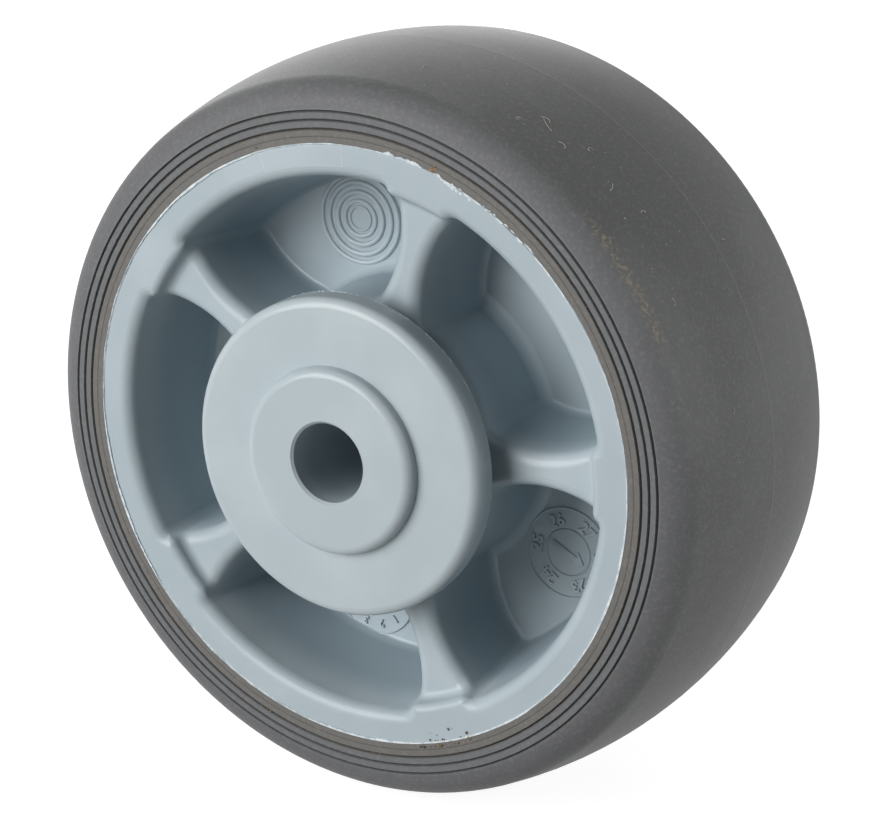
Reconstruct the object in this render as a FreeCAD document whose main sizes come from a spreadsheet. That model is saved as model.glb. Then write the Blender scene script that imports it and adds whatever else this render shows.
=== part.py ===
import FreeCAD, Part
import math
import os
import Sketcher

# Trolley wheel on a plain bore: origin at the wheel's centre, axle along Y, front face towards -Y.
# Each half of the wheel is drawn on the +Y side and mirrored in the XZ plane.

os.makedirs("parts", exist_ok=True)
doc = FreeCAD.newDocument("trolley_wheel")

# Driving sizes in millimetres and degrees
size_values = {
    "wheel_diameter": 125.0,
    "tread_width": 50.0,
    "crown_radius": 92.0,
    "shoulder_radius": 5.5,
    "flank_drop": 0.7,
    "tyre_thickness": 12.35,
    "ribbed_wall_width": 5.1,
    "rib_groove_count": 3,
    "rib_groove_pitch": 1.42,
    "rib_groove_width": 0.5,
    "rib_groove_depth": 0.45,
    "rim_face_recess": 0.15,
    "lock_groove_start": 6.0,
    "lock_groove_width": 9.0,
    "lock_groove_depth": 2.5,
    "lock_groove_flare": 0.8,
    "web_thickness": 9.8,
    "ring_step_inset": 0.1,
    "ring_step_width": 2.9,
    "spoke_face_drop": 2.6,
    "spoke_count": 5,
    "spoke_angle": 2.7,
    "barrel_wall": 8.95,
    "barrel_draft": 10.6,
    "hub_wall": 7.3,
    "hub_draft": 4.0,
    "waist_inset": 0.8,
    "waist_half_floor": 4.6,
    "spoke_draft": 6.5,
    "spoke_flare_floor": 1.758,
    "spoke_flare_mouth": 2.7,
    "barrel_corner_floor": 1.5,
    "barrel_corner_mouth": 2.2,
    "hub_corner_floor": 1.5,
    "hub_corner_mouth": 3.5,
    "pocket_floor_fillet": 0.6,
    "spoke_edge_fillet": 2.2,
    "hub_foot_width": 1.6,
    "hub_foot_height": 2.6,
    "hub_foot_sweep": 3.1,
    "hub_foot_sink": 0.05,
    "hub_collar_wall": 4.0,
    "hub_end_rise": 1.2,
    "seat_radius": 17.5,
    "seat_depth": 12.0,
    "sleeve_radius": 11.0,
    "press_gap": 0.02,
    "sleeve_end_gap": 0.4,
    "flange_overhang": 1.7,
    "flange_thickness": 4.6,
    "flange_fillet": 1.6,
    "boss_radius": 15.6,
    "boss_height": 2.2,
    "boss_draft": 6.0,
    "boss_fillet": 1.5,
    "bore_radius": 6.6,
    "bore_chamfer": 0.4,
}

full_turn = 360
match_gap = 1e-3  # how near an edge lies to the place it is picked by

sheet = doc.addObject("Spreadsheet::Sheet", "sizes")
for row, (alias, number) in enumerate(size_values.items(), start=1):
    sheet.set(f"A{row}", alias)
    sheet.set(f"B{row}", str(number))
    sheet.setAlias(f"B{row}", alias)
doc.recompute()


class Size:
    """A number together with the sheet formula that gives it."""

    def __init__(self, number, formula):
        self.number = number
        self.formula = formula

    def __add__(self, other):
        other = as_size(other)
        return Size(self.number + other.number, f"({self.formula} + {other.formula})")

    def __sub__(self, other):
        other = as_size(other)
        return Size(self.number - other.number, f"({self.formula} - {other.formula})")

    def __mul__(self, other):
        other = as_size(other)
        return Size(self.number * other.number, f"({self.formula} * {other.formula})")

    def __truediv__(self, other):
        other = as_size(other)
        return Size(self.number / other.number, f"({self.formula} / {other.formula})")


def as_size(entry):
    return entry if isinstance(entry, Size) else Size(float(entry), repr(float(entry)))


def size(alias):
    return Size(float(size_values[alias]), f"sizes.{alias}")


def sine(angle):
    return Size(math.sin(math.radians(angle.number)), f"sin({angle.formula})")


def cosine(angle):
    return Size(math.cos(math.radians(angle.number)), f"cos({angle.formula})")


def tangent(angle):
    return Size(math.tan(math.radians(angle.number)), f"tan({angle.formula})")


def root(square):
    return Size(math.sqrt(square.number), f"sqrt({square.formula})")


def least(first, second):
    return Size(min(first.number, second.number), f"min({first.formula}; {second.formula})")


# Heights along the axle, counted from the mid-plane
half_width = size("tread_width") / 2
rim_face = half_width - size("rim_face_recess")
spoke_face = rim_face - size("spoke_face_drop")
pocket_floor = size("web_thickness") / 2
hub_end = rim_face + size("hub_end_rise")
seat_floor = hub_end - size("seat_depth")
pocket_depth = rim_face - pocket_floor

# Radii, outwards from the hub and inwards from the tread
hub_floor_radius = size("seat_radius") + size("hub_wall")
hub_foot_radius = hub_floor_radius + size("hub_foot_width")
hub_collar_radius = size("seat_radius") + size("hub_collar_wall")
flange_radius = hub_floor_radius + size("flange_overhang")
rim_radius = size("wheel_diameter") / 2 - size("tyre_thickness")
ribbed_wall_radius = rim_radius + size("ribbed_wall_width")
barrel_floor_radius = rim_radius - size("barrel_wall")
barrel_mouth_radius = barrel_floor_radius + pocket_depth * tangent(size("barrel_draft"))
ring_edge_radius = barrel_mouth_radius - size("ring_step_inset")
spoke_face_radius = ring_edge_radius - size("ring_step_width")

half_pitch = as_size(full_turn / 2) / size("spoke_count")
waist_place = (hub_floor_radius + barrel_floor_radius) / 2 - size("waist_inset")
waist_half_mouth = size("waist_half_floor") - pocket_depth * tangent(size("spoke_draft"))

# Largest fillets that their walls leave room for
shoulder_reach = 1.5  # of the flank's width
barrel_corner_reach = 0.35  # of the width between hub and barrel
hub_corner_reach = 0.2
flare_reach = 0.15
edge_reach = 0.75  # of the height or thickness


def new_body(label):
    body = doc.addObject("PartDesign::Body", label)
    body.Label = label
    return body


def origin_part(body, role):
    return next(entry for entry in body.Origin.OriginFeatures if entry.Role == role)


def new_sketch(body, name, role, height=None, turn=None):
    """Sketch on one of the body's own planes, lifted by height and turned about its normal."""
    sketch = body.newObject("Sketcher::SketchObject", name)
    sketch.AttachmentSupport = (origin_part(body, role), [""])
    sketch.MapMode = "FlatFace"
    if turn is not None:
        spin = FreeCAD.Rotation(FreeCAD.Vector(0, 0, 1), turn.number)
        sketch.AttachmentOffset = FreeCAD.Placement(FreeCAD.Vector(0, 0, 0), spin)
        sketch.setExpression("AttachmentOffset.Rotation.Angle", turn.formula)
    if height is not None:
        sketch.setExpression("AttachmentOffset.Base.z", height.formula)
    return sketch


def pin_point(sketch, edge, end, across, up):
    """Hold one end of an edge at a place that follows the sheet."""
    for kind, place in (("DistanceX", across), ("DistanceY", up)):
        index = sketch.addConstraint(Sketcher.Constraint(kind, -1, 1, edge, end, place.number))
        sketch.setExpression(f"Constraints[{index}]", place.formula)


def pin_radius(sketch, edge, radius):
    index = sketch.addConstraint(Sketcher.Constraint("Radius", edge, radius.number))
    sketch.setExpression(f"Constraints[{index}]", radius.formula)


def bend_arc(start, end, radius, side):
    """Minor arc between two points; side 1 bulges to the right of the way from start to end."""
    middle = (start + end) * 0.5
    half = (end - start) * 0.5
    rise = math.sqrt(radius * radius - half.Length * half.Length)
    normal = FreeCAD.Vector(-half.y, half.x, 0).normalize()
    centre = middle + normal * (rise * side)
    first = math.atan2(start.y - centre.y, start.x - centre.x)
    last = math.atan2(end.y - centre.y, end.x - centre.x)
    if side < 0:
        first, last = last, first
    circle = Part.Circle(centre, FreeCAD.Vector(0, 0, 1), radius)
    return Part.ArcOfCircle(circle, first, last)


def draw_outline(sketch, corners):
    """Closed outline; a corner is (x, y), or (x, y, radius, side) where an arc leads to it."""
    corners = [tuple(as_size(entry) for entry in corner[:2]) + tuple(corner[2:]) for corner in corners]
    points = [FreeCAD.Vector(corner[0].number, corner[1].number, 0) for corner in corners]
    ends = []
    for index, corner in enumerate(corners):
        start = points[index - 1]
        if len(corner) == 2:
            edge = sketch.addGeometry(Part.LineSegment(start, points[index]))
            ends.append((edge, 1, 2))
        else:
            radius, side = corner[2], corner[3]
            edge = sketch.addGeometry(bend_arc(start, points[index], radius.number, side))
            ends.append((edge, 1, 2) if side > 0 else (edge, 2, 1))
    for index, corner in enumerate(corners):
        edge, _, finish = ends[index]
        follower, begin, _ = ends[(index + 1) % len(ends)]
        sketch.addConstraint(Sketcher.Constraint("Coincident", edge, finish, follower, begin))
        pin_point(sketch, edge, finish, corner[0], corner[1])
        if len(corner) == 4:
            pin_radius(sketch, edge, corner[2])


def turn_profile(body, name, corners, kind="PartDesign::Revolution"):
    """Outline in the XY plane turned once round the axle."""
    sketch = new_sketch(body, name + "_section", "XY_Plane")
    draw_outline(sketch, corners)
    feature = body.newObject(kind, name)
    feature.Profile = sketch
    feature.ReferenceAxis = (sketch, ["V_Axis"])
    feature.Angle = full_turn
    sketch.Visibility = False
    body.Tip = feature
    doc.recompute()
    return feature


def edges_where(feature, test):
    return [f"Edge{index}" for index, edge in enumerate(feature.Shape.Edges, start=1) if test(edge)]


def round_edges(body, name, base, edge_names, radius):
    fillet = body.newObject("PartDesign::Fillet", name)
    fillet.Base = (base, edge_names)
    fillet.setExpression("Radius", radius.formula)
    body.Tip = fillet
    doc.recompute()
    return fillet


def mirror_half(body, name):
    """Add the -Y half."""
    mirror = body.newObject("PartDesign::Mirrored", name)
    mirror.TransformMode = "Whole shape"
    mirror.MirrorPlane = (origin_part(body, "XZ_Plane"), [""])
    body.Tip = mirror
    doc.recompute()
    return mirror


def ring_radius(edge):
    """Radius of a circular edge round the axle, or None."""
    curve = edge.Curve
    if not isinstance(curve, Part.Circle):
        return None
    off_axis = math.hypot(curve.Center.x, curve.Center.z)
    if abs(abs(curve.Axis.y) - 1) > match_gap or off_axis > match_gap:
        return None
    return curve.Radius


def ring_edges(feature, radius, height=None):
    """Circular edges round the axle with this radius, and at this height if one is given."""
    def matches(edge):
        found = ring_radius(edge)
        if found is None or abs(found - radius.number) > match_gap:
            return False
        return height is None or abs(edge.Curve.Center.y - height.number) < match_gap
    return edges_where(feature, matches)


# Lock grooves in the rim, filled by the tyre
def lock_corners():
    start = half_width - size("lock_groove_start")
    end = start - size("lock_groove_width")
    bottom = rim_radius - size("lock_groove_depth")
    flare = size("lock_groove_flare")
    return [
        (rim_radius, start),
        (bottom, start + flare),
        (bottom, end - flare),
        (rim_radius, end),
    ]


# Tyre
def crown_height(place):
    """Radius of the crowned tread at a distance from the mid-plane."""
    crown = size("crown_radius")
    return size("wheel_diameter") / 2 - crown + root(crown * crown - place * place)


def make_tyre():
    body = new_body("tyre")
    flank_edge = half_width - size("flank_drop")
    flank_radius = crown_height(flank_edge)
    corners = [
        (rim_radius, half_width),
        *lock_corners(),
        (rim_radius, 0),
        (size("wheel_diameter") / 2, 0),
        (flank_radius, flank_edge, size("crown_radius"), 1),
        (ribbed_wall_radius, half_width),
    ]
    ring = turn_profile(body, "tread_ring", corners)
    rounding = least(size("shoulder_radius"), (flank_radius - ribbed_wall_radius) * shoulder_reach)
    round_edges(body, "shoulder", ring, ring_edges(ring, flank_radius), rounding)
    for index in range(size_values["rib_groove_count"]):
        middle = ribbed_wall_radius - size("rib_groove_pitch") * index
        top = half_width + size("rib_groove_depth")
        groove = [
            (middle - size("rib_groove_width"), top),
            (middle, half_width - size("rib_groove_depth")),
            (middle + size("rib_groove_width"), top),
        ]
        turn_profile(body, f"rib_groove_{index + 1}", groove, "PartDesign::Groove")
    mirror_half(body, "front_half")
    return body


# Wheel centre
def make_blank(body):
    """Half section of the centre before its pockets: rim, web, hub and the step up to the ring face."""
    run = size("ring_step_width")
    rise = size("spoke_face_drop")
    bend = (run * run + rise * rise) / (rise * 4)
    corners = [
        (size("sleeve_radius"), 0),
        (rim_radius, 0),
        *reversed(lock_corners()),
        (rim_radius, rim_face),
        (ring_edge_radius, rim_face),
        (ring_edge_radius - run / 2, rim_face - rise / 2, bend, 1),
        (spoke_face_radius, spoke_face, bend, -1),
        (hub_collar_radius, spoke_face),
        (hub_collar_radius, hub_end),
        (size("seat_radius"), hub_end),
        (size("seat_radius"), seat_floor),
        (size("sleeve_radius"), seat_floor),
    ]
    return turn_profile(body, "blank", corners)


class PocketOutline:
    """Plan of one pocket between two spokes, at one height, with its middle along the sketch's x."""

    def __init__(self, height, hub, barrel, waist, flare, hub_corner, barrel_corner):
        room = barrel - hub
        flare = least(flare, room * flare_reach)
        self.height = height
        self.hub = hub
        self.barrel = barrel
        self.side = (room * room / 4 + flare * flare) / (flare * 2)
        self.hub_corner = least(hub_corner, room * hub_corner_reach)
        self.barrel_corner = least(barrel_corner, room * barrel_corner_reach)
        reach = self.side + waist
        self.side_x = waist_place * cosine(half_pitch) + reach * sine(half_pitch)
        self.side_y = waist_place * sine(half_pitch) - reach * cosine(half_pitch)


def corner_centre(outline, ring, corner, outward):
    """Centre of a corner arc that touches a ring wall and the side arc, on the +y side."""
    far = ring - corner if outward else ring + corner
    near = outline.side.number - corner
    centre = complex(outline.side_x.number, outline.side_y.number)
    distance = abs(centre)
    along = (far * far - near * near + distance * distance) / (2 * distance)
    across = math.sqrt(far * far - along * along)
    unit = centre / distance
    options = [unit * complex(along, across), unit * complex(along, -across)]
    return max(options, key=lambda place: place.imag)


def arc_between(centre, radius, start, end):
    """Anticlockwise arc round centre, from the direction of start to that of end."""
    first = math.atan2((start - centre).imag, (start - centre).real)
    last = math.atan2((end - centre).imag, (end - centre).real)
    if last < first:
        last += 2 * math.pi
    circle = Part.Circle(FreeCAD.Vector(centre.real, centre.imag, 0), FreeCAD.Vector(0, 0, 1), radius)
    return Part.ArcOfCircle(circle, first, last)


def touch_point(centre, other, radius):
    """Point at radius from centre on the line through other."""
    return centre + (other - centre) / abs(other - centre) * radius


def draw_pocket(sketch, outline):
    hub, barrel, side = outline.hub.number, outline.barrel.number, outline.side.number
    hub_corner, barrel_corner = outline.hub_corner.number, outline.barrel_corner.number
    side_centre = complex(outline.side_x.number, outline.side_y.number)
    outer = corner_centre(outline, barrel, barrel_corner, True)
    inner = corner_centre(outline, hub, hub_corner, False)
    barrel_touch = touch_point(0, outer, barrel)
    side_top = touch_point(side_centre, outer, side)
    side_low = touch_point(side_centre, inner, side)
    hub_touch = touch_point(0, inner, hub)
    flip = complex.conjugate
    # anticlockwise round the pocket, except the hub arc, which runs the other way
    arcs = [
        arc_between(0, barrel, flip(barrel_touch), barrel_touch),
        arc_between(outer, barrel_corner, barrel_touch, side_top),
        arc_between(side_centre, side, side_top, side_low),
        arc_between(inner, hub_corner, side_low, hub_touch),
        arc_between(0, hub, flip(hub_touch), hub_touch),
        arc_between(flip(inner), hub_corner, flip(hub_touch), flip(side_low)),
        arc_between(flip(side_centre), side, flip(side_low), flip(side_top)),
        arc_between(flip(outer), barrel_corner, flip(side_top), flip(barrel_touch)),
    ]
    edges = [sketch.addGeometry(arc) for arc in arcs]
    joints = [
        (0, 2, 1, 1), (1, 2, 2, 1), (2, 2, 3, 1), (3, 2, 4, 2),
        (4, 1, 5, 1), (5, 2, 6, 1), (6, 2, 7, 1), (7, 2, 0, 1),
    ]
    for first, first_end, second, second_end in joints:
        link = Sketcher.Constraint("Tangent", edges[first], first_end, edges[second], second_end)
        sketch.addConstraint(link)
    for index in (0, 4):
        sketch.addConstraint(Sketcher.Constraint("Coincident", edges[index], 3, -1, 1))
    pin_point(sketch, edges[2], 3, outline.side_x, outline.side_y)
    pin_point(sketch, edges[6], 3, outline.side_x, as_size(0) - outline.side_y)
    radii = [outline.barrel, outline.barrel_corner, outline.side, outline.hub_corner]
    radii += [outline.hub, outline.hub_corner, outline.side, outline.barrel_corner]
    for edge, radius in zip(edges, radii):
        pin_radius(sketch, edge, radius)


def make_pockets(body):
    """Pockets between the spokes, each lofted from its floor to its mouth."""
    floor = PocketOutline(
        pocket_floor, hub_floor_radius, barrel_floor_radius, size("waist_half_floor"),
        size("spoke_flare_floor"), size("hub_corner_floor"), size("barrel_corner_floor"))
    mouth = PocketOutline(
        rim_face,
        hub_floor_radius - pocket_depth * tangent(size("hub_draft")),
        barrel_mouth_radius,
        waist_half_mouth,
        size("spoke_flare_mouth"), size("hub_corner_mouth"), size("barrel_corner_mouth"))
    turn = size("spoke_angle") + half_pitch
    sketches = []
    for name, outline in (("pocket_floor", floor), ("pocket_mouth", mouth)):
        sketch = new_sketch(body, name, "XZ_Plane", as_size(0) - outline.height, turn)
        draw_pocket(sketch, outline)
        sketches.append(sketch)
    doc.recompute()
    pocket = body.newObject("PartDesign::SubtractiveLoft", "pocket")
    pocket.Profile = sketches[0]
    pocket.Sections = [sketches[1]]
    pocket.Ruled = True
    body.Tip = pocket
    doc.recompute()
    pattern = body.newObject("PartDesign::PolarPattern", "pockets")
    pattern.Originals = [pocket]
    pattern.Axis = (origin_part(body, "Y_Axis"), [""])
    pattern.Angle = full_turn
    pattern.setExpression("Occurrences", "sizes.spoke_count")
    body.Tip = pattern
    doc.recompute()
    return pattern


def floor_edge(edge):
    """Edge round a pocket's floor."""
    box = edge.BoundBox
    return max(abs(box.YMin - pocket_floor.number), abs(box.YMax - pocket_floor.number)) < match_gap


def mouth_edge(edge):
    """Edge where a pocket's wall meets the spoke faces or the step up to the ring."""
    return isinstance(edge.Curve, Part.BSplineCurve) and edge.BoundBox.YMin > spoke_face.number - match_gap


def make_hub_foot(body):
    """Coved foot where the hub wall meets the pocket floors."""
    inside = hub_floor_radius - size("hub_foot_height") / 2
    below = pocket_floor - size("hub_foot_height") / 2
    top = pocket_floor + size("hub_foot_height")
    drawn_in = size("hub_foot_height") * tangent(size("hub_draft")) + size("hub_foot_sink")
    corners = [
        (inside, below),
        (hub_foot_radius, below),
        (hub_foot_radius, pocket_floor),
        (hub_floor_radius - drawn_in, top, size("hub_foot_sweep"), -1),
        (inside, top),
    ]
    return turn_profile(body, "hub_foot", corners)


def make_centre():
    body = new_body("wheel_centre")
    make_blank(body)
    pockets = make_pockets(body)
    floors = edges_where(pockets, floor_edge)
    floor = round_edges(body, "floor_fillet", pockets, floors, size("pocket_floor_fillet"))
    mouths = edges_where(floor, mouth_edge)
    rounding = least(size("spoke_edge_fillet"), waist_half_mouth)
    round_edges(body, "spoke_fillet", floor, mouths, rounding)
    make_hub_foot(body)
    mirror_half(body, "front_half")
    return body


# Hub bushes
def make_bush(label, turn):
    """Flanged plain bush whose flange seats on the hub's end."""
    body = new_body(label)
    shank = size("seat_radius") - size("press_gap")
    sleeve = size("sleeve_radius") - size("press_gap")
    shank_end = seat_floor + size("press_gap")
    flange_face = hub_end + size("flange_thickness")
    boss_face = flange_face + size("boss_height")
    boss_top = size("boss_radius") - size("boss_height") * tangent(size("boss_draft"))
    chamfer = size("bore_chamfer")
    corners = [
        (size("bore_radius"), size("sleeve_end_gap") / 2),
        (sleeve, size("sleeve_end_gap") / 2),
        (sleeve, shank_end),
        (shank, shank_end),
        (shank, hub_end),
        (flange_radius, hub_end),
        (flange_radius, flange_face),
        (size("boss_radius"), flange_face),
        (boss_top, boss_face),
        (size("bore_radius") + chamfer, boss_face),
        (size("bore_radius"), boss_face - chamfer),
    ]
    blank = turn_profile(body, label + "_blank", corners)
    rim = ring_edges(blank, flange_radius, flange_face)
    rim_rounding = least(size("flange_fillet"), size("flange_thickness") * edge_reach)
    rounded = round_edges(body, label + "_rim", blank, rim, rim_rounding)
    crest = ring_edges(rounded, boss_top, boss_face)
    crest_rounding = least(size("boss_fillet"), size("boss_height") * edge_reach)
    round_edges(body, label + "_crest", rounded, crest, crest_rounding)
    turned = FreeCAD.Rotation(FreeCAD.Vector(0, 0, 1), turn)
    body.Placement = FreeCAD.Placement(FreeCAD.Vector(0, 0, 0), turned)
    doc.recompute()
    return body


def check_built(bodies):
    for entry in doc.Objects:
        if "Invalid" in entry.State or "Error" in entry.State:
            raise RuntimeError(f"{entry.Label} did not build: {entry.State}")
    for body in bodies:
        if body.Shape.isNull() or not body.Shape.isValid():
            raise RuntimeError(f"{body.Label} has no valid shape")


pieces = [
    make_tyre(),
    make_centre(),
    make_bush("front_hub_bush", full_turn / 2),
    make_bush("rear_hub_bush", 0),
]
doc.recompute()
check_built(pieces)

for body in pieces:
    print(body.Label, round(body.Shape.Volume, 1), len(body.Shape.Faces), body.Shape.BoundBox)
    body.Shape.exportStep(f"parts/{body.Label}.step")
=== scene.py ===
import math
import random
import bmesh
import bpy
from mathutils import Matrix, Vector


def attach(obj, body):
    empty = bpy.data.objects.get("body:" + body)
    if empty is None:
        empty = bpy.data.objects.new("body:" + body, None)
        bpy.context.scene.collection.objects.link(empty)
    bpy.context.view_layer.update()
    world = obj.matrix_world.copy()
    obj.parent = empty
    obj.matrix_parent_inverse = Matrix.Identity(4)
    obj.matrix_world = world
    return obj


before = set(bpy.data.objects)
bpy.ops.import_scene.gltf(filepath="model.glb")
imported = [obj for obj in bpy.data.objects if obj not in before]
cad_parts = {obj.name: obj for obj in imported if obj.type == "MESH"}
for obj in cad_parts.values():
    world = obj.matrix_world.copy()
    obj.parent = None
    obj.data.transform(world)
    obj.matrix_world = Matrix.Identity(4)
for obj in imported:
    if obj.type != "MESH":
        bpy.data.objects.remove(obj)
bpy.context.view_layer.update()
print("wheel frame loaded")

mm = 0.001
frontTurn = Matrix.Rotation(math.radians(90), 4, "X")  # a drawing on the XY plane turned to face the front


def tone(red, green, blue):
    # a colour as a paint program names it, 0 to 255, made linear
    def linear(part):
        part = part / 255
        return part / 12.92 if part <= 0.04045 else ((part + 0.055) / 1.055) ** 2.4
    return (linear(red), linear(green), linear(blue), 1.0)


class Wire:
    # an output of a paint's nodes that can be used in sums
    def __init__(self, paint, socket):
        self.paint = paint
        self.socket = socket

    def __add__(self, other):
        return self.paint.sums("ADD", self, other)

    def __radd__(self, other):
        return self.paint.sums("ADD", other, self)

    def __sub__(self, other):
        return self.paint.sums("SUBTRACT", self, other)

    def __rsub__(self, other):
        return self.paint.sums("SUBTRACT", other, self)

    def __mul__(self, other):
        return self.paint.sums("MULTIPLY", self, other)

    def __pow__(self, other):
        return self.paint.sums("POWER", self, other)

    def __abs__(self):
        return self.paint.sums("ABSOLUTE", self)


class Paint:
    # a material and the short ways to fill it
    def __init__(self, name, finish):
        self.material = bpy.data.materials.new(name)
        self.material.use_nodes = True
        self.nodes = self.material.node_tree.nodes
        self.links = self.material.node_tree.links
        self.shader = self.nodes["Principled BSDF"]
        for socketName, value in finish.items():
            self.shader.inputs[socketName].default_value = value
        self.place = self.put("ShaderNodeTexCoord", output="Object")

    def put(self, kind, settings=None, sockets=None, output=0):
        node = self.nodes.new(kind)
        for key, value in (settings or {}).items():
            setattr(node, key, value)
        for key, value in (sockets or {}).items():
            self.feed(node.inputs[key], value)
        return Wire(self, node.outputs[output])

    def feed(self, socket, value):
        if isinstance(value, Wire):
            self.links.new(value.socket, socket)
        else:
            socket.default_value = value

    def sums(self, operation, *terms):
        return self.put("ShaderNodeMath", {"operation": operation}, dict(enumerate(terms)))

    def axes(self, vector):
        return [self.put("ShaderNodeSeparateXYZ", sockets={0: vector}, output=index) for index in range(3)]

    def fade(self, value, start, end):
        # 0 at start and 1 at end, either way round
        low, high = min(start, end), max(start, end)
        mask = self.put("ShaderNodeMapRange", {"interpolation_type": "SMOOTHSTEP"},
                        {0: value, 1: low, 2: high, 3: 0.0, 4: 1.0})
        return mask if end > start else 1 - mask

    def cloud(self, scale, detail=3.0, rough=0.5, vector=None):
        return self.put("ShaderNodeTexNoise", sockets={
            "Vector": vector or self.place, "Scale": scale, "Detail": detail, "Roughness": rough})

    def dots(self, scale, size, share):
        # round specks of a given size in a share of the cells
        settings = {"feature": "F1"}
        sockets = {"Vector": self.place, "Scale": scale}
        distance = self.put("ShaderNodeTexVoronoi", settings, sockets, "Distance")
        pick = self.axes(self.put("ShaderNodeTexVoronoi", settings, sockets, "Color"))[0]
        return self.fade(distance, size * scale, size * scale * 0.5) * self.fade(pick, share + 0.01, share)

    def scratches(self, scale, width, share, stretch):
        # hairlines: cell edges of a stretched pattern, kept only in patches
        bent = self.put("ShaderNodeMapping", sockets={"Vector": self.place, "Scale": stretch})
        edge = self.put("ShaderNodeTexVoronoi", {"feature": "DISTANCE_TO_EDGE"},
                        {"Vector": bent, "Scale": scale}, "Distance")
        patch = self.cloud(scale * 0.6, 2.0)
        return self.fade(edge, width * scale, 0) * self.fade(patch, 1 - share, 1 - share + 0.05)

    def blend(self, mask, under, over):
        return self.put("ShaderNodeMix", {"data_type": "RGBA"}, {0: mask, 6: under, 7: over}, 2)

    def finish(self, colour, roughness, height, depth):
        bump = self.put("ShaderNodeBump", sockets={"Strength": 1.0, "Distance": depth, "Height": height})
        self.feed(self.shader.inputs["Base Color"], colour)
        self.feed(self.shader.inputs["Roughness"], roughness)
        self.feed(self.shader.inputs["Normal"], bump)
        return self.material


# grey rubber of the tyre: ribbed side wall with painted shade in its grooves, paler shoulder, dusty tread
rubberLook = {
    "tread": tone(84, 86, 85),
    "cloudy": tone(97, 99, 98),
    "innerLand": tone(104, 102, 98),
    "outerLand": tone(102, 104, 106),
    "shoulder": tone(99, 99, 102),
    "groove": tone(58, 52, 45),
    "dust": tone(176, 174, 168),
    "scuff": tone(140, 128, 112),
    "crumb": tone(152, 136, 108),
    "cloudScale": 34,
    "grainScale": 1500,
    "sideFrom": 24.3 * mm,
    "sideFull": 24.8 * mm,
    "sideFace": 25.0 * mm,
    "landChange": 52.3 * mm,
    "innerLine": 51.15 * mm,
    "innerLineWidth": 0.16 * mm,
    "grooveEnd": 55.7 * mm,
    "grooveDepth": 0.36 * mm,
    "shoulderEnd": 58.6 * mm,
    "shoulderFade": 1.6 * mm,
    "shoulderFrom": 20 * mm,
    "shoulderFull": 23 * mm,
    "seamWidth": 0.2 * mm,
    "seamFrom": 60 * mm,
    "streak": {"place": -21.8 * mm, "width": 1.3 * mm, "from": 22.0, "to": 50.0, "fade": 8.0},
    "strengths": {"line": 0.55, "seam": 0.12, "patches": 0.3, "streak": 0.5, "dust": 0.75, "crumbs": 0.7,
                  "fluff": 0.3, "hairs": 0.22, "grain": 0.14},
}


def rubberPaint():
    look = rubberLook
    strengths = look["strengths"]
    paint = Paint("tyreRubber", {"Specular IOR Level": 0.3})
    x, y, z = paint.axes(paint.place)
    radius = (x * x + z * z) ** 0.5
    around = paint.sums("DEGREES", paint.sums("ARCTAN2", z, x))
    side = abs(y)
    cloud = paint.cloud(look["cloudScale"], 4.0, 0.6)
    grain = paint.cloud(look["grainScale"], 3.0, 0.65)
    onSide = paint.fade(side, look["sideFrom"], look["sideFull"])
    ribbed = paint.fade(radius, look["grooveEnd"] + 0.5 * mm, look["grooveEnd"])
    colour = paint.blend(paint.fade(cloud, 0.4, 0.66), look["tread"], look["cloudy"])
    # shoulder and lands
    band = paint.fade(radius, look["shoulderEnd"] + look["shoulderFade"], look["shoulderEnd"])
    band = band * paint.fade(side, look["shoulderFrom"], look["shoulderFull"])
    colour = paint.blend(band * (0.45 + grain * 0.5), colour, look["shoulder"])
    lands = paint.blend(paint.fade(radius, look["landChange"], look["landChange"] + 0.4 * mm),
                        look["innerLand"], look["outerLand"])
    colour = paint.blend(ribbed * onSide * (1.05 - cloud * 0.4), colour, lands)
    # painted shade in a fine groove line, the seam, and painted shade in the grooves
    offLine = abs(radius - look["innerLine"] + (cloud - 0.5) * 0.3 * mm)
    line = paint.fade(offLine, look["innerLineWidth"], 0.03 * mm) * onSide
    colour = paint.blend(line * strengths["line"], colour, look["groove"])
    seam = paint.fade(side, look["seamWidth"], 0.05 * mm)
    seam = seam * paint.fade(radius, look["seamFrom"], look["seamFrom"] + mm)
    colour = paint.blend(seam * strengths["seam"], colour, look["dust"])
    # painted shade: the groove hollows are painted dark
    shadedHollow = paint.fade(look["sideFace"] - side, 0.04 * mm, look["grooveDepth"]) * ribbed
    colour = paint.blend(shadedHollow * (0.45 + cloud * 0.5), colour, look["groove"])
    # wear and dust
    patches = paint.fade(paint.cloud(60, 3.0, 0.6), 0.6, 0.74) * onSide
    colour = paint.blend(patches * strengths["patches"], colour, look["scuff"])
    trail = look["streak"]
    streak = paint.fade(abs(y - trail["place"]), trail["width"], 0.2 * mm) * paint.fade(grain, 0.46, 0.62)
    streak = streak * paint.fade(around, trail["from"], trail["from"] + trail["fade"])
    streak = streak * paint.fade(around, trail["to"], trail["to"] - trail["fade"])
    colour = paint.blend(streak * strengths["streak"], colour, look["crumb"])
    dust = paint.dots(300, 0.12 * mm, 0.06)
    fluff = paint.scratches(105, 0.035 * mm, 0.36, (1.0, 1.0, 0.35))
    hairs = paint.scratches(160, 0.03 * mm, 0.3, (0.4, 1.0, 1.0))
    colour = paint.blend(dust * strengths["dust"], colour, look["dust"])
    colour = paint.blend(paint.dots(210, 0.2 * mm, 0.05) * strengths["crumbs"], colour, look["crumb"])
    colour = paint.blend(fluff * strengths["fluff"] + hairs * strengths["hairs"], colour, look["dust"])
    colour = paint.blend(paint.fade(grain, 0.45, 0.8) * strengths["grain"], colour, look["dust"])
    roughness = 0.48 + cloud * 0.16 + shadedHollow * 0.3 + fluff * 0.1
    return paint.finish(colour, roughness, grain * 0.5 + seam * 0.5 + fluff * 0.4 - line * 0.8, 0.05 * mm)
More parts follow.
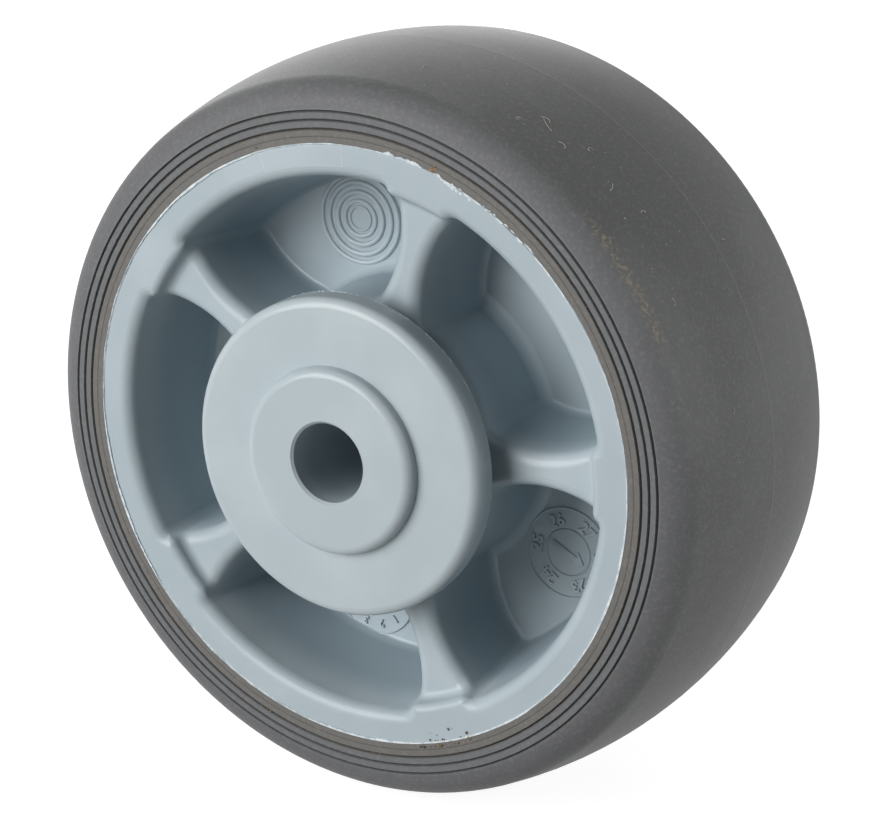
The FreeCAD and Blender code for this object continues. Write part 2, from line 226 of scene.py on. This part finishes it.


# pale blue-grey plastic of the centre, with scuffs, an insert's outline and dirt on the ring's face, painted
# shade on the pockets' walls and a painted highlight on the tops of the raised marks
centreLook = {
    "plastic": tone(166, 179, 185),
    "pale": tone(175, 187, 193),
    # painted shade: the darker tone laid on the pockets' walls
    "shadedHollow": tone(133, 149, 158),
    "scuff": tone(214, 222, 226),
    "dirt": tone(138, 122, 94),
    "speck": tone(120, 112, 98),
    "cloudScale": 40,
    "grainScale": 900,
    "frontFrom": -24.0 * mm,
    "frontFull": -24.4 * mm,
    # where the painted shade on the pockets' walls begins and where it reaches full strength
    "paintedWallShade": {"high": 22 * mm, "highFull": 15 * mm, "low": 5.3 * mm, "lowFull": 7.5 * mm},
    # painted highlight on the tops of the raised marks: the height band and radii where it is laid
    "raisedTopHighlight": {"foot": 5.08 * mm, "rise": 0.22 * mm, "end": 5.9 * mm,
               "inside": 25.6 * mm, "outside": 41.3 * mm},
    "ringInside": 45.6 * mm,
    "ringEdge": 49.75 * mm,
    "ringFace": 24.5 * mm,
    "insert": {"from": 92.3, "to": 110.7, "inside": 46.5 * mm, "outside": 49.7 * mm},
    "scuffs": [(71.5, 50.0, 0.26), (70.7, 49.9, 0.32), (69.9, 49.8, 0.38), (69.0, 49.65, 0.42),
               (68.2, 49.5, 0.4), (67.3, 49.4, 0.34), (66.3, 49.4, 0.28), (64.3, 49.5, 0.3), (78.4, 50.0, 0.4)],
    "dirtFrom": 282.0,
    "dirtTo": 298.0,
    "strengths": {"raisedTopHighlight": 0.16, "hairs": 0.3, "edge": 0.06, "scuffs": 0.75, "outline": 0.65, "joint": 0.8,
                  "specks": 0.8},
}


def ringScuffs(paint, x, z):
    # worn spots along the ring's outer edge, each with a ragged rim
    ragged = (paint.cloud(700, 3.0, 0.6) - 0.5) * 0.9 * mm
    worn = 0.0
    for angle, distance, size in centreLook["scuffs"]:
        turn = math.radians(angle)
        across = x - math.cos(turn) * distance * mm
        along = z - math.sin(turn) * distance * mm
        away = (across * across + along * along) ** 0.5 + ragged
        worn = worn + paint.fade(away, size * mm, size * 0.55 * mm)
    return paint.sums("MINIMUM", worn, 1.0)


def insertOutline(paint, radius, around):
    # thin line left by the mould's insert: its inner side and its two ends
    insert = centreLook["insert"]
    within = paint.fade(around, insert["from"] - 0.08, insert["from"])
    within = within * paint.fade(around, insert["to"] + 0.08, insert["to"])
    ends = paint.fade(radius, insert["inside"] - 0.05 * mm, insert["inside"])
    ends = ends * paint.fade(radius, insert["outside"] + 0.05 * mm, insert["outside"]) * within
    inner = ends * paint.fade(abs(radius - insert["inside"]), 0.09 * mm, 0.03 * mm)
    first = paint.fade(abs(around - insert["from"]), 0.1, 0.03)
    last = paint.fade(abs(around - insert["to"]), 0.1, 0.03)
    return paint.sums("MINIMUM", inner + (first + last) * ends, 1.0)


def centrePaint():
    look = centreLook
    strengths = look["strengths"]
    paint = Paint("centrePlastic", {"Specular IOR Level": 0.3, "Coat Weight": 0.2, "Coat Roughness": 0.05})
    x, y, z = paint.axes(paint.place)
    radius = (x * x + z * z) ** 0.5
    around = paint.sums("DEGREES", paint.sums("ARCTAN2", z, x))
    side = abs(y)
    front = paint.fade(y, look["frontFrom"], look["frontFull"])
    cloud = paint.cloud(look["cloudScale"], 3.0, 0.55)
    grain = paint.cloud(look["grainScale"], 2.0, 0.5)
    colour = paint.blend(paint.fade(cloud, 0.4, 0.7), look["plastic"], look["pale"])
    # painted shade on the pockets' walls, painted highlight on the tops of the raised marks on their floors
    walls = look["paintedWallShade"]
    paintedWallShade = paint.fade(side, walls["high"], walls["highFull"])
    paintedWallShade = paintedWallShade * paint.fade(side, walls["low"], walls["lowFull"])
    colour = paint.blend(paintedWallShade * (0.55 + cloud * 0.3), colour, look["shadedHollow"])
    # painted highlight: the tops of the raised ring mark and dial figures are painted paler
    marks = look["raisedTopHighlight"]
    raisedTopHighlight = paint.fade(side, marks["foot"], marks["foot"] + marks["rise"])
    raisedTopHighlight = raisedTopHighlight * paint.fade(side, marks["end"], marks["end"] - 0.3 * mm)
    raisedTopHighlight = raisedTopHighlight * paint.fade(radius, marks["outside"], marks["outside"] - 0.3 * mm)
    raisedTopHighlight = raisedTopHighlight * paint.fade(radius, marks["inside"], marks["inside"] + 0.4 * mm)
    colour = paint.blend(raisedTopHighlight * strengths["raisedTopHighlight"], colour, look["scuff"])
    # ring's face: hairlines, worn edge, scuffs and the insert
    onRing = paint.fade(radius, look["ringInside"], look["ringInside"] + 0.6 * mm)
    onRing = onRing * paint.fade(side, look["ringFace"], look["ringFace"] + 0.2 * mm)
    hairs = paint.scratches(150, 0.03 * mm, 0.42, (1.0, 1.0, 0.5))
    edge = look["ringEdge"]
    edgeWear = paint.fade(radius + grain * 0.7 * mm, edge + 0.35 * mm, edge + 0.8 * mm)
    colour = paint.blend(onRing * hairs * strengths["hairs"], colour, look["scuff"])
    colour = paint.blend(onRing * edgeWear * strengths["edge"], colour, look["scuff"])
    worn = ringScuffs(paint, x, z) * front
    colour = paint.blend(worn * strengths["scuffs"], colour, look["scuff"])
    outline = insertOutline(paint, radius, around) * front
    colour = paint.blend(outline * strengths["outline"], colour, look["scuff"])
    # dirt at the bottom, where the angle counts down from zero
    dirty = paint.fade(around, look["dirtFrom"] - 360, look["dirtFrom"] - 357)
    dirty = dirty * paint.fade(around, look["dirtTo"] - 360, look["dirtTo"] - 363) * front
    joint = paint.fade(radius + grain * 0.8 * mm, 50.15 * mm, 50.6 * mm) * dirty
    colour = paint.blend(joint * strengths["joint"], colour, look["dirt"])
    grime = paint.dots(420, 0.13 * mm, 0.3) * dirty * paint.fade(radius, 47.4 * mm, 48.6 * mm)
    specks = paint.dots(300, 0.1 * mm, 0.04)
    spotted = paint.sums("MINIMUM", grime + specks * 0.6, 1.0)
    colour = paint.blend(spotted * strengths["specks"], colour, look["speck"])
    roughness = 0.36 + cloud * 0.1 + onRing * 0.06 + worn * 0.15
    height = grain * 0.3 + hairs * onRing * 0.4 + outline * 0.9 + worn * grain
    return paint.finish(colour, roughness, height, 0.03 * mm)


# smoother plastic of the bushes, with faint rings from its mould and painted shade deep in the bore
bushLook = {
    "plastic": tone(172, 184, 189),
    "pale": tone(180, 191, 195),
    "speck": tone(128, 138, 142),
    # painted shade tone for the inside of the bore
    "bore": tone(120, 136, 145),
    "boreRadius": 6.7 * mm,
    "boreMouth": 32 * mm,
    "boreDeep": 27 * mm,
    "flowScale": 520,
}


def bushPaint():
    look = bushLook
    paint = Paint("bushPlastic", {"Specular IOR Level": 0.35, "Coat Weight": 0.25, "Coat Roughness": 0.06})
    x, y, z = paint.axes(paint.place)
    radius = (x * x + z * z) ** 0.5
    cloud = paint.cloud(60, 3.0, 0.5)
    grain = paint.cloud(700, 2.0, 0.5)
    flow = paint.cloud(look["flowScale"], 1.0, 0.5, paint.put("ShaderNodeCombineXYZ", sockets={0: radius}))
    colour = paint.blend(paint.fade(cloud, 0.38, 0.7), look["plastic"], look["pale"])
    colour = paint.blend(paint.dots(330, 0.12 * mm, 0.05) * 0.5, colour, look["speck"])
    # painted shade: the bore's wall is painted darker further in from its mouth
    shadedBore = paint.fade(radius, look["boreRadius"] + 0.1 * mm, look["boreRadius"])
    shadedBore = shadedBore * paint.fade(abs(y), look["boreMouth"], look["boreDeep"])
    colour = paint.blend(shadedBore * 0.45, colour, look["bore"])
    roughness = 0.34 + cloud * 0.1
    return paint.finish(colour, roughness, grain * 0.2 + flow * 0.3, 0.02 * mm)


# smaller finishes, each a cloudy mix of two tones: grit, torn plastic, a thread and pale dust
mixedLooks = {
    "dryGrit": {"dark": tone(74, 64, 48), "light": tone(150, 134, 104), "scale": 1400, "detail": 2.0,
                "spread": 0.15, "shine": 0.2, "roughness": 0.85, "unevenness": 0.1, "depth": 0.05 * mm},
    "tornPlastic": {"dark": tone(176, 190, 196), "light": tone(226, 231, 233), "scale": 900, "detail": 3.0,
                    "spread": 0.2, "shine": 0.5, "roughness": 0.45, "unevenness": 0.2, "depth": 0.02 * mm},
    "driedFibre": {"dark": tone(176, 134, 92), "light": tone(216, 184, 146), "scale": 2600, "detail": 2.0,
                   "spread": 0.15, "shine": 0.3, "roughness": 0.7, "unevenness": 0.2, "depth": 0.02 * mm},
    "paleDust": {"dark": tone(176, 172, 162), "light": tone(212, 209, 200), "scale": 1800, "detail": 2.0,
                 "spread": 0.15, "shine": 0.2, "roughness": 0.85, "unevenness": 0.1, "depth": 0.02 * mm},
}


def mixedPaint(name):
    look = mixedLooks[name]
    paint = Paint(name, {"Specular IOR Level": look["shine"]})
    mix = paint.fade(paint.cloud(look["scale"], look["detail"]), 0.5 - look["spread"], 0.5 + look["spread"])
    colour = paint.blend(mix, look["dark"], look["light"])
    return paint.finish(colour, look["roughness"] + mix * look["unevenness"], mix, look["depth"])


paints = {
    "tyre": rubberPaint(),
    "wheel_centre": centrePaint(),
    "front_hub_bush": bushPaint(),
    "grit": mixedPaint("dryGrit"),
    "flash": mixedPaint("tornPlastic"),
    "fibre": mixedPaint("driedFibre"),
    "hair": mixedPaint("paleDust"),
}
paints["rear_hub_bush"] = paints["front_hub_bush"]
for node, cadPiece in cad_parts.items():
    cadPiece.data.materials.clear()
    cadPiece.data.materials.append(paints[node])
print("rubber and plastic painted")


def addPiece(shape, name, paint, sharp=35):
    # a bmesh made into a finished piece that rides with the wheel
    mesh = bpy.data.meshes.new(name)
    shape.to_mesh(mesh)
    shape.free()
    mesh.shade_smooth()
    mesh.set_sharp_from_angle(angle=math.radians(sharp))
    mesh.materials.append(paint)
    piece = bpy.data.objects.new(name, mesh)
    bpy.context.scene.collection.objects.link(piece)
    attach(piece, "root")


def turned(profile, steps=128):
    # a closed profile of (radius, height) pairs in millimetres, spun round Z
    shape = bmesh.new()
    points = [shape.verts.new((radius * mm, 0, height * mm)) for radius, height in profile]
    edges = [shape.edges.new(pair) for pair in zip(points, points[1:])]
    if profile[0][0] > 0:
        edges.append(shape.edges.new((points[-1], points[0])))
    bmesh.ops.spin(shape, geom=points + edges, cent=(0, 0, 0), axis=(0, 0, 1), dvec=(0, 0, 0),
                   angle=math.tau, steps=steps, use_merge=True, use_duplicate=False)
    bmesh.ops.remove_doubles(shape, verts=shape.verts, dist=1e-7)
    bmesh.ops.recalc_face_normals(shape, faces=shape.faces)
    return shape


def toFloor(shape, angle, distance, height=4.9):
    # from a flat drawing to a pocket floor on the front, at an angle round the axle
    turn = math.radians(angle)
    place = Vector((math.cos(turn) * distance, -height, math.sin(turn) * distance)) * mm
    shape.transform(Matrix.Translation(place) @ frontTurn)
    return shape


def wordShape(words, size, rise):
    # raised figures as a bmesh, centred on the origin
    curve = bpy.data.curves.new("figures", "FONT")
    curve.body = words
    curve.align_x = "CENTER"
    curve.align_y = "CENTER"
    curve.size = size * mm
    curve.extrude = rise * mm
    curve.bevel_depth = 0.09 * mm
    curve.bevel_resolution = 1
    curve.resolution_u = 3
    holder = bpy.data.objects.new("figures", curve)
    bpy.context.scene.collection.objects.link(holder)
    mesh = bpy.data.meshes.new_from_object(holder)
    bpy.data.objects.remove(holder)
    shape = bmesh.new()
    shape.from_mesh(mesh)
    bpy.data.meshes.remove(mesh)
    bmesh.ops.remove_doubles(shape, verts=shape.verts, dist=1e-7)
    return shape


def merge(shape, other):
    # moves everything in other over to shape
    mesh = bpy.data.meshes.new("part")
    other.to_mesh(mesh)
    other.free()
    shape.from_mesh(mesh)
    bpy.data.meshes.remove(mesh)


# ring mark on the floor of the upper pocket: round beads, one inside the other
ringMark = {"angle": 109.6, "distance": 33.98, "radius": 7.95, "plate": 0.12, "sunk": 0.3,
            "beads": {2.0: 0.26, 2.95: 0.4, 4.4: 0.48, 6.02: 0.48, 7.4: 0.42},
            "widestBead": 0.48, "widestRise": 0.42}


def makeRingMark():
    look = ringMark
    profile = [(0, look["plate"])]
    for centre, half in look["beads"].items():
        rise = look["widestRise"] * half / look["widestBead"]
        for turn in range(0, 181, 30):
            across, up = -math.cos(math.radians(turn)), math.sin(math.radians(turn))
            profile.append((centre + across * half, look["plate"] + up * rise))
    radius, sunk = look["radius"], look["sunk"]
    profile += [(radius - 0.05, look["plate"]), (radius, 0.0), (radius, -sunk), (0, -sunk)]
    shape = toFloor(turned(profile), look["angle"], look["distance"])
    addPiece(shape, "ring_mark", paints["wheel_centre"], 32)


makeRingMark()


# dials with plain numbers on the floors of two more pockets
dials = {
    "year_dial": {"angle": -33.1, "distance": 33.85, "numbers": ["23", "24", "25", "26", "27", "28"],
                  "firstAngle": -68.0, "step": -60.0, "size": 2.9, "numberRadius": 5.6, "arrow": -28.0},
    "month_dial": {"angle": -105.4, "distance": 34.0, "numbers": [str(month) for month in range(1, 13)],
                   "firstAngle": -48.0, "step": -30.0, "size": 1.9, "numberRadius": 5.9, "arrow": 42.0},
}
dialShape = {"radius": 7.9, "innerRadius": 4.0, "plate": 0.06, "rise": 0.34, "sunk": 0.3, "ridgeFoot": 0.22,
             "ridgeTop": 0.08, "arrowLength": 6.7, "arrowWidth": 0.85, "arrowSunk": 0.1, "headLength": 1.6,
             "headSlant": 0.3, "headHalf": 1.35, "arrowRounding": 0.05}


def arrowShape():
    # shaft and open head, drawn along X
    look = dialShape
    half, width = look["arrowLength"] / 2, look["arrowWidth"] / 2
    neck = half - look["headLength"]
    barb = (neck - look["headSlant"], look["headHalf"])
    outline = [(-half, -width), (neck, -width), (barb[0], -barb[1]), (half, 0), barb, (neck, width),
               (-half, width)]
    shape = bmesh.new()
    face = shape.faces.new([shape.verts.new((x * mm, y * mm, -look["arrowSunk"] * mm)) for x, y in outline])
    lifted = bmesh.ops.extrude_face_region(shape, geom=[face])
    top = [entry for entry in lifted["geom"] if isinstance(entry, bmesh.types.BMVert)]
    bmesh.ops.translate(shape, verts=top, vec=(0, 0, (look["rise"] + look["arrowSunk"]) * mm))
    bmesh.ops.bevel(shape, geom=shape.edges[:], offset=look["arrowRounding"] * mm, offset_type="OFFSET",
                    affect="EDGES", segments=2, profile=0.5, material=-1, clamp_overlap=True)
    bmesh.ops.recalc_face_normals(shape, faces=shape.faces)
    return shape


def makeDial(name):
    look, base = dials[name], dialShape
    inner, outer = base["innerRadius"], base["radius"]
    foot, top = base["ridgeFoot"], base["ridgeTop"]
    profile = [(0, base["plate"]), (inner - foot, base["plate"]), (inner - top, base["rise"] * 0.8),
               (inner + top, base["rise"] * 0.8), (inner + foot, base["plate"]),
               (outer - 0.45, base["plate"]), (outer - 0.25, base["rise"]), (outer - 0.1, base["rise"]),
               (outer, 0.02), (outer, -base["sunk"]), (0, -base["sunk"])]
    shape = turned(profile)
    for index, number in enumerate(look["numbers"]):
        around = look["firstAngle"] + look["step"] * index
        figures = wordShape(number, look["size"], base["rise"] / 2)
        figures.transform(Matrix.Rotation(math.radians(around), 4, "Z")
                          @ Matrix.Translation((look["numberRadius"] * mm, 0, base["rise"] / 2 * mm))
                          @ Matrix.Rotation(math.radians(-90), 4, "Z"))
        merge(shape, figures)
    arrow = arrowShape()
    arrow.transform(Matrix.Rotation(math.radians(look["arrow"]), 4, "Z"))
    merge(shape, arrow)
    addPiece(toFloor(shape, look["angle"], look["distance"]), name, paints["wheel_centre"], 30)


for dialName in dials:
    makeDial(dialName)
print("ring mark and dials made")


# joint of rubber and plastic: each creeps over the other in five slow waves, torn along the upper right
jointLook = {"waves": 5, "waveAngle": 20.0, "waveHeight": 0.24, "unevenness": 0.05, "steps": 1440,
             "wavers": (29, 67, 143, 311), "seeds": {"front": 11, "rear": 12},
             "plasticLip": [(49.9, 24.6), (50.08, 24.6), (50.16, 24.9), (50.15, 24.97), (50.06, 24.985),
                            (49.9, 24.8)],
             "rubberLip": [(50.6, 24.7), (50.6, 24.99), (50.12, 24.98), (50.05, 24.93), (50.05, 24.7)],
             "plasticEdge": 50.12, "rubberEdge": 50.2, "plasticBack": -0.1, "rubberBack": 0.05}
tornLook = {"from": 44.0, "to": 84.0, "bits": 26, "reach": 0.56, "widths": (0.25, 1.1), "heights": (0.4, 1.0),
            "sunk": 0.25, "lifted": 0.15, "seed": 13,
            "profile": [(49.85, 24.7), (50.16, 24.9), (50.16, 25.04), (50.05, 25.05), (49.85, 24.84)]}


def uneven(angle, phases):
    # a slow waver made of a few waves that close round the circle
    return sum(math.sin(math.radians(waves * angle) + phase) / (index + 1)
               for index, (waves, phase) in enumerate(zip(jointLook["wavers"], phases)))


def jointReaches(seed):
    # how far the plastic reaches past the joint all round, less than 0 where the rubber does
    look = jointLook
    chance = random.Random(seed)
    phases = [chance.uniform(0, math.tau) for waver in look["wavers"]]
    reaches = []
    for step in range(look["steps"]):
        angle = 360 * step / look["steps"]
        wave = math.cos(math.radians(look["waves"] * (angle - look["waveAngle"])))
        reaches.append(look["waveHeight"] * wave + look["unevenness"] * uneven(angle, phases))
    return reaches


def tornReaches(reaches):
    # bits of flash on top of the joint, well under it elsewhere
    look = tornLook
    chance = random.Random(look["seed"])
    bits = [(chance.uniform(look["from"], look["to"]), chance.uniform(*look["widths"]),
             chance.uniform(*look["heights"])) for bit in range(look["bits"])]
    torn = []
    for step, reach in enumerate(reaches):
        angle = 360 * step / len(reaches)
        rise = max(tall * math.exp(-((angle - place) / wide) ** 2) for place, wide, tall in bits)
        curl = look["reach"] * rise * chance.uniform(0.8, 1.1)
        torn.append(reach - look["sunk"] + curl + look["lifted"] * (rise > 0.1))
    return torn


def raggedRing(profile, name, paint, front, edgeAt, reaches):
    # a thin spun ring whose vertices past an edge are moved out or in, angle by angle
    steps = len(reaches)
    shape = turned(profile, steps)
    for vert in shape.verts:
        radius = vert.co.xy.length
        if edgeAt(radius / mm):
            step = round(math.atan2(vert.co.y, vert.co.x) / math.tau * steps) % steps
            vert.co.xy *= (radius + reaches[step] * mm) / radius
    shape.transform(frontTurn if front else Matrix.Rotation(math.radians(180), 4, "Z") @ frontTurn)
    addPiece(shape, name, paint, 40)


def makeJoint(label):
    look = jointLook
    front = label == "front"
    reaches = jointReaches(look["seeds"][label])
    plastic = [max(reach, look["plasticBack"]) for reach in reaches]
    rubber = [min(reach, look["rubberBack"]) for reach in reaches]
    raggedRing(look["plasticLip"], f"{label}_plastic_lip", paints["wheel_centre"], front,
               lambda radius: radius > look["plasticEdge"], plastic)
    raggedRing(look["rubberLip"], f"{label}_rubber_lip", paints["tyre"], front,
               lambda radius: radius < look["rubberEdge"], rubber)
    return reaches


frontJoint = makeJoint("front")
makeJoint("rear")
raggedRing(tornLook["profile"], "front_torn_flash", paints["flash"], True,
           lambda radius: radius > jointLook["plasticEdge"], tornReaches(frontJoint))


# thin torn edge on the back of each bush's disc
discEdge = {"radius": 26.45, "height": 26.12, "width": 0.4, "overhang": 0.03, "reach": 0.14, "steps": 900,
            "seeds": {"front": 21, "rear": 22}}


def makeDiscEdge(label):
    look = discEdge
    chance = random.Random(look["seeds"][label])
    rim, level = look["radius"], look["height"]
    inside, outside = rim - look["width"], rim + look["overhang"]
    profile = [(inside, level), (outside, level - 0.03), (outside, level + 0.05), (inside, level + 0.08)]
    reaches = [chance.random() ** 3 * look["reach"] for step in range(look["steps"])]
    raggedRing(profile, f"{label}_disc_edge", paints["flash"], label == "front",
               lambda radius: radius > rim, reaches)


for label in discEdge["seeds"]:
    makeDiscEdge(label)
print("lips and torn edges made")


# grit along the bottom of the ring and a curl of fibre at its top
gritLook = {"from": 283.5, "to": 296.5, "grains": 46, "inner": 47.6, "outer": 50.6, "smallest": 0.07,
            "largest": 0.24, "ringLevel": 24.85, "tyreLevel": 25.0, "tyreFrom": 50.2,
            "strays": [(110.7, 50.6), (111.1, 50.8), (42.0, 52.4), (36.0, 52.5), (251.0, 52.4)],
            "strayLevel": 24.95, "straySize": 0.17, "seed": 5}
fibreLook = {"angle": 73.3, "distance": 50.35, "level": 25.05, "layer": 0.03, "length": 1.4, "thickness": 0.08,
             "strands": 5, "beads": 10, "headings": (-60, 70), "bend": 0.35, "seed": 8}


def pebble(shape, chance, place, size, roundness=2):
    grain = bmesh.ops.create_icosphere(shape, subdivisions=roundness, radius=size * mm)["verts"]
    for vert in grain:
        vert.co *= chance.uniform(0.72, 1.15)
    bmesh.ops.translate(shape, verts=grain, vec=place)


def ringPoint(angle, distance, height):
    turn = math.radians(angle)
    return Vector((math.cos(turn) * distance, -height, math.sin(turn) * distance)) * mm


def makeGrit():
    look = gritLook
    chance = random.Random(look["seed"])
    shape = bmesh.new()
    for grain in range(look["grains"]):
        size = look["smallest"] + (look["largest"] - look["smallest"]) * chance.random() ** 2
        inward = chance.random() ** 4
        distance = look["outer"] + (look["inner"] - look["outer"]) * inward
        level = look["ringLevel"] if distance < look["tyreFrom"] else look["tyreLevel"]
        place = ringPoint(chance.uniform(look["from"], look["to"]), distance, level + size * 0.35)
        pebble(shape, chance, place, size)
    for angle, distance in look["strays"]:
        pebble(shape, chance, ringPoint(angle, distance, look["strayLevel"]), look["straySize"])
    bmesh.ops.recalc_face_normals(shape, faces=shape.faces)
    addPiece(shape, "ring_grit", paints["grit"], 60)


def makeFibre():
    look = fibreLook
    chance = random.Random(look["seed"])
    shape = bmesh.new()
    for strand in range(look["strands"]):
        heading = math.radians(chance.uniform(*look["headings"]))
        point = ringPoint(look["angle"], look["distance"], look["level"] + look["layer"] * strand)
        for bead in range(look["beads"]):
            pebble(shape, chance, point, look["thickness"] * chance.uniform(0.7, 1.0))
            heading += chance.uniform(-look["bend"], look["bend"])
            ahead = Vector((math.cos(heading), 0, math.sin(heading)))
            point = point + ahead * look["length"] / look["beads"] * mm
    bmesh.ops.recalc_face_normals(shape, faces=shape.faces)
    addPiece(shape, "ring_fibre", paints["fibre"], 60)


# pale hairs and crumbs of dust on the tread, as (angle, place along the axle, heading, length)
hairLook = {"radius": 62.5, "crown": 92.0, "thickness": 0.06, "lift": 0.02, "beads": 30, "seed": 17,
            "hairs": [(61.5, -13.6, 20, 3.2), (62.8, -12.2, 75, 2.3), (58.0, -15.0, 110, 2.1),
                      (55.5, -10.5, 40, 1.8), (49.0, -14.5, 95, 1.8), (44.0, -12.0, 60, 1.2),
                      (30.0, -16.5, 100, 1.6), (66.0, -15.5, 10, 1.5), (84.0, -14.0, 30, 1.6),
                      (12.0, -11.0, 80, 1.4), (-18.0, -13.0, 50, 1.3), (35.0, 2.0, 20, 1.4)],
            "bend": 9, "waver": 6, "crumbs": 90, "crumbAngles": (-60, 120), "crumbPlaces": (-19, -6),
            "crumbSizes": (0.03, 0.09)}


def treadPoint(angle, along):
    look = hairLook
    radius = look["radius"] - look["crown"] + math.sqrt(look["crown"] ** 2 - along ** 2) + look["lift"]
    turn = math.radians(angle)
    return Vector((math.cos(turn) * radius, along, math.sin(turn) * radius)) * mm


def makeHairs():
    look = hairLook
    chance = random.Random(look["seed"])
    shape = bmesh.new()
    for angle, along, heading, length in look["hairs"]:
        step, bend = length / look["beads"], chance.uniform(-look["bend"], look["bend"])
        for bead in range(look["beads"]):
            pebble(shape, chance, treadPoint(angle, along), look["thickness"], 1)
            heading += bend + chance.uniform(-look["waver"], look["waver"])
            angle += math.degrees(step * math.cos(math.radians(heading)) / look["radius"])
            along += step * math.sin(math.radians(heading))
    for crumb in range(look["crumbs"]):
        angle, along = chance.uniform(*look["crumbAngles"]), chance.uniform(*look["crumbPlaces"])
        pebble(shape, chance, treadPoint(angle, along), chance.uniform(*look["crumbSizes"]), 1)
    bmesh.ops.recalc_face_normals(shape, faces=shape.faces)
    addPiece(shape, "tread_hairs", paints["hair"], 60)


makeGrit()
makeFibre()
makeHairs()
print("grit, fibre and hairs made")


# floor, world and lights
studio = {"floorLevel": -62.5 * mm, "floorSize": 3.0, "floorPale": 0.4, "floorGlow": 0.88, "worldLevel": 0.02}
lamps = {
    "key_lamp": {"place": (-0.54, -1.02, 0.38), "power": 16.9, "width": 0.9, "height": 0.9},
    "top_lamp": {"place": (0.1, 0.25, 1.3), "power": 1.0, "width": 0.7, "height": 0.5},
    "side_lamp": {"place": (1.15, 0.2, 0.3), "power": 7.0, "width": 0.25, "height": 0.8},
    "back_lamp": {"place": (-0.75, 1.0, 0.35), "power": 6.0, "width": 0.8, "height": 0.8},
}


def makeFloor():
    shape = bmesh.new()
    bmesh.ops.create_grid(shape, x_segments=2, y_segments=2, size=studio["floorSize"])
    mesh = bpy.data.meshes.new("studio_floor")
    shape.to_mesh(mesh)
    shape.free()
    floor = bpy.data.objects.new("studio_floor", mesh)
    floor.location.z = studio["floorLevel"]
    bpy.context.scene.collection.objects.link(floor)
    pale = studio["floorPale"]
    finish = {"Base Color": (pale, pale, pale, 1), "Roughness": 1.0, "Specular IOR Level": 0.0}
    paint = Paint("floorWhite", finish)
    lit = Wire(paint, paint.shader.outputs[0])
    seen = paint.put("ShaderNodeLightPath", output="Is Camera Ray")
    seen = seen + paint.put("ShaderNodeLightPath", output="Is Glossy Ray")
    seen = seen + paint.put("ShaderNodeLightPath", output="Is Transmission Ray")
    glow = paint.put("ShaderNodeEmission", sockets={"Color": (1, 1, 1, 1), "Strength": studio["floorGlow"]})
    bright = paint.put("ShaderNodeAddShader", sockets={0: lit, 1: glow})
    mixed = paint.put("ShaderNodeMixShader", sockets={0: seen, 1: lit, 2: bright})
    paint.links.new(mixed.socket, paint.nodes["Material Output"].inputs["Surface"])
    mesh.materials.append(paint.material)


def makeWorld():
    world = bpy.data.worlds.new("studio")
    bpy.context.scene.world = world
    world.use_nodes = True
    nodes, links = world.node_tree.nodes, world.node_tree.links
    nodes.clear()
    path = nodes.new("ShaderNodeLightPath")
    plain = nodes.new("ShaderNodeBackground")
    plain.inputs["Strength"].default_value = studio["worldLevel"]
    white = nodes.new("ShaderNodeBackground")
    for background in (plain, white):
        background.inputs["Color"].default_value = (1, 1, 1, 1)
    seen = path.outputs["Is Camera Ray"]
    for rayKind in ("Is Glossy Ray", "Is Transmission Ray"):
        either = nodes.new("ShaderNodeMath")
        either.operation = "MAXIMUM"
        links.new(seen, either.inputs[0])
        links.new(path.outputs[rayKind], either.inputs[1])
        seen = either.outputs[0]
    mix = nodes.new("ShaderNodeMixShader")
    links.new(seen, mix.inputs[0])
    links.new(plain.outputs[0], mix.inputs[1])
    links.new(white.outputs[0], mix.inputs[2])
    output = nodes.new("ShaderNodeOutputWorld")
    links.new(mix.outputs[0], output.inputs["Surface"])


def makeLamp(name):
    look = lamps[name]
    lamp = bpy.data.lights.new(name, "AREA")
    lamp.energy = look["power"]
    lamp.shape = "RECTANGLE"
    lamp.size = look["width"]
    lamp.size_y = look["height"]
    holder = bpy.data.objects.new(name, lamp)
    holder.location = look["place"]
    holder.rotation_euler = (-Vector(look["place"])).to_track_quat("-Z", "Y").to_euler()
    bpy.context.scene.collection.objects.link(holder)


makeFloor()
makeWorld()
for lampName in lamps:
    makeLamp(lampName)
print("studio lit")


# camera at the photograph's angle
view = {"azimuth": 31.76, "elevation": 18.79, "distance": 580.8 * mm, "right": 1.46 * mm, "up": -0.47 * mm,
        "lens": 141.57}


def makeCamera():
    azimuth, elevation = math.radians(view["azimuth"]), math.radians(view["elevation"])
    right = Vector((math.cos(azimuth), math.sin(azimuth), 0))
    back = Vector((math.sin(azimuth) * math.cos(elevation), -math.cos(azimuth) * math.cos(elevation),
                   math.sin(elevation)))
    up = back.cross(right)
    lens = bpy.data.cameras.new("camera")
    lens.lens = view["lens"]
    lens.sensor_width = 36
    lens.clip_start = 0.01
    lens.clip_end = 20
    camera = bpy.data.objects.new("camera", lens)
    rotation = Matrix((right, up, back)).transposed()
    place = back * view["distance"] + right * view["right"] + up * view["up"]
    camera.matrix_world = Matrix.Translation(place) @ rotation.to_4x4()
    bpy.context.scene.collection.objects.link(camera)
    bpy.context.scene.camera = camera


makeCamera()
bpy.context.scene.view_settings.view_transform = "Standard"
bpy.context.view_layer.update()
print("camera placed")
